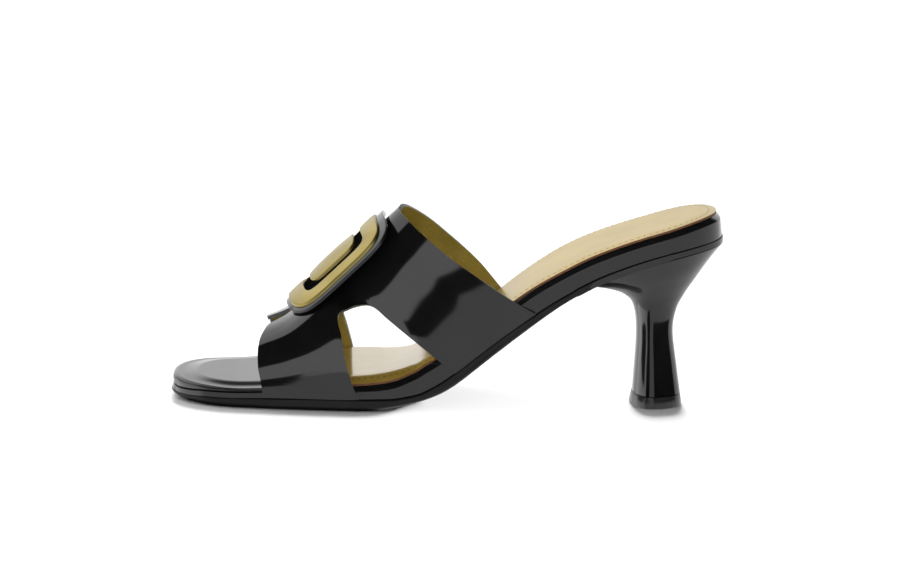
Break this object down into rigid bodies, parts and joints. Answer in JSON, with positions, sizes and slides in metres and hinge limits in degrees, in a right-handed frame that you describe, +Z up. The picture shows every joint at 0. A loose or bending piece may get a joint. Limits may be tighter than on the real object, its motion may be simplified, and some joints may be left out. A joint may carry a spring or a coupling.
{
  "type": "heeled slide sandal",
  "caption": "Backless heeled slide sandal with an open toe, a cut-out patent upper over the instep, a framed metal ornament, a lined footbed and a flared heel.",
  "frame": {"origin": "middle of the shoe's box on the floor", "axes": "toe towards -X, heel towards +X, inner (medial) side towards -Y, +Z up from the floor"},
  "size_m": [0.229, 0.0818, 0.0842],
  "materials": {
    "outsole": "satin black sole sheet with a smooth edge",
    "footbed": "black patent wrap, high gloss",
    "insole_sock": "soft metallic gold leather, half gloss",
    "upper": "black patent leather with a gold lining, high gloss",
    "heel": "black, high gloss",
    "top_lift": "black, half gloss",
    "ornament_base": "black, gloss",
    "ornament_frame": "pale gold, finely brushed",
    "ornament_boss": "pale gold, finely brushed"
  },
  "bodies": {
    "root": {"outsole": "outsole", "footbed": "footbed", "insole_sock": "insole_sock", "upper": "upper", "heel": "heel", "top_lift": "top_lift", "ornament_base": "ornament_base", "ornament_frame": "ornament_frame", "ornament_boss": "ornament_boss"}
  },
  "joints": []
}
